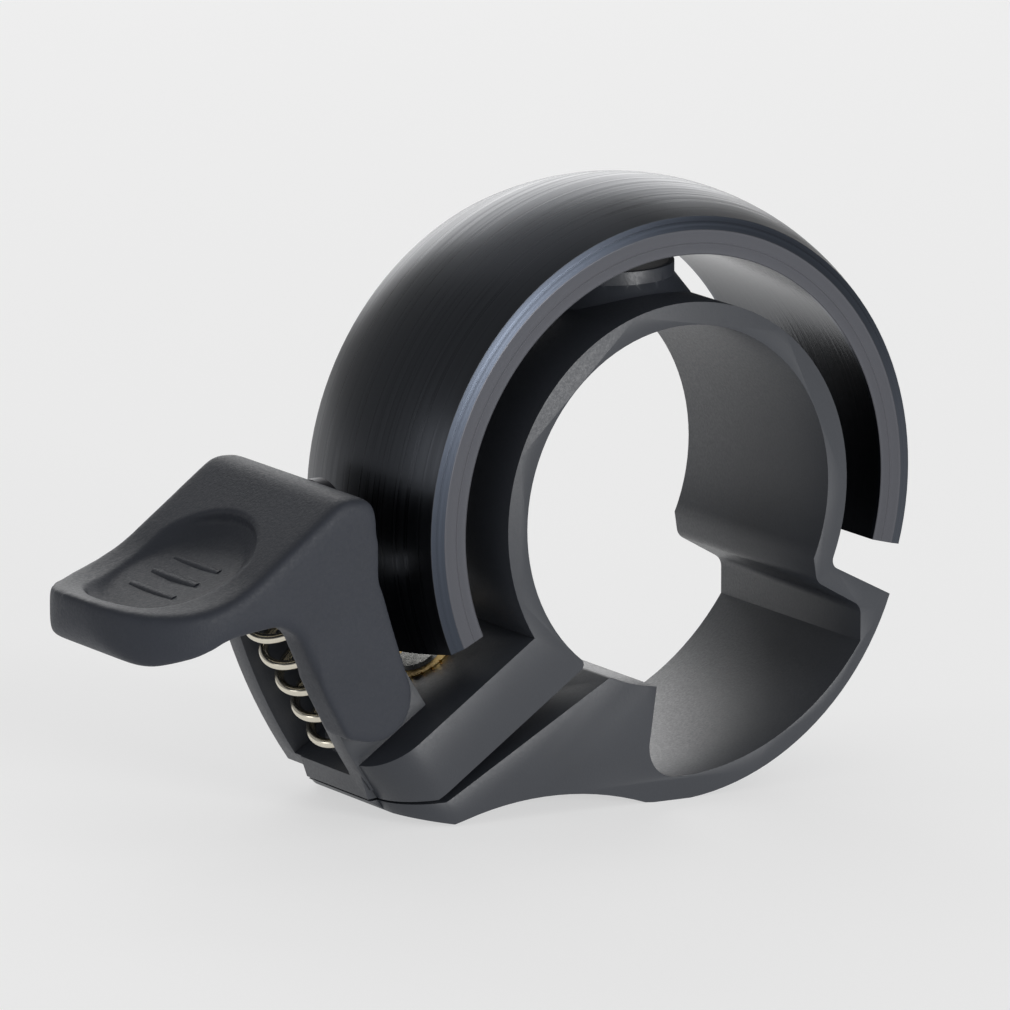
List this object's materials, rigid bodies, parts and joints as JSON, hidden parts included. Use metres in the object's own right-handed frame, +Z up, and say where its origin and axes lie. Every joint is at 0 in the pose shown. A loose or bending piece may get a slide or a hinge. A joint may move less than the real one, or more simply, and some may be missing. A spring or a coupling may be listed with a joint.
{
  "type": "bicycle bell",
  "caption": "Bicycle bell shaped as a wide metal band around a handlebar clamp, with a sprung thumb lever whose stud strikes the band.",
  "frame": {"origin": "middle of the handlebar's bore: on its axis, halfway across the clamp's width", "axes": "+Y along the handlebar's axis, away from the near face; +Z up through the bell's post; -X towards the thumb lever"},
  "size_m": [0.0576, 0.0146, 0.0373],
  "materials": {
    "black_nylon": "moulded, satin",
    "charcoal_nylon": "moulded, fine spark-eroded grain",
    "black_anodised_aluminium": "turned, black anodised, bright chamfered rims",
    "black_rubber": "moulded",
    "stainless_steel": "bright",
    "spring_steel": "drawn wire",
    "blackened_steel": "black oxide",
    "brass": "knurled"
  },
  "bodies": {
    "clamp": {"clamp_bracket": "black_nylon", "bell_band": "black_anodised_aluminium", "bell_cushion": "black_rubber", "bell_screw": "stainless_steel", "bell_washer": "stainless_steel", "clamp_screw": "stainless_steel", "clamp_washer": "stainless_steel", "clamp_insert": "brass", "pivot_pin": "stainless_steel", "return_spring": "spring_steel"},
    "lever": {"thumb_lever": "charcoal_nylon", "striker": "blackened_steel"}
  },
  "joints": [
    {"name": "lever_pivot", "type": "hinge", "parent": "clamp", "child": "lever", "pos_m": [-0.0219, 0, -0.0089], "axis": [0, -1, 0], "range_deg": [-4.5, 12], "stiffness_Nm_per_rad": 0.05, "deforming": ["return_spring"]}
  ]
}
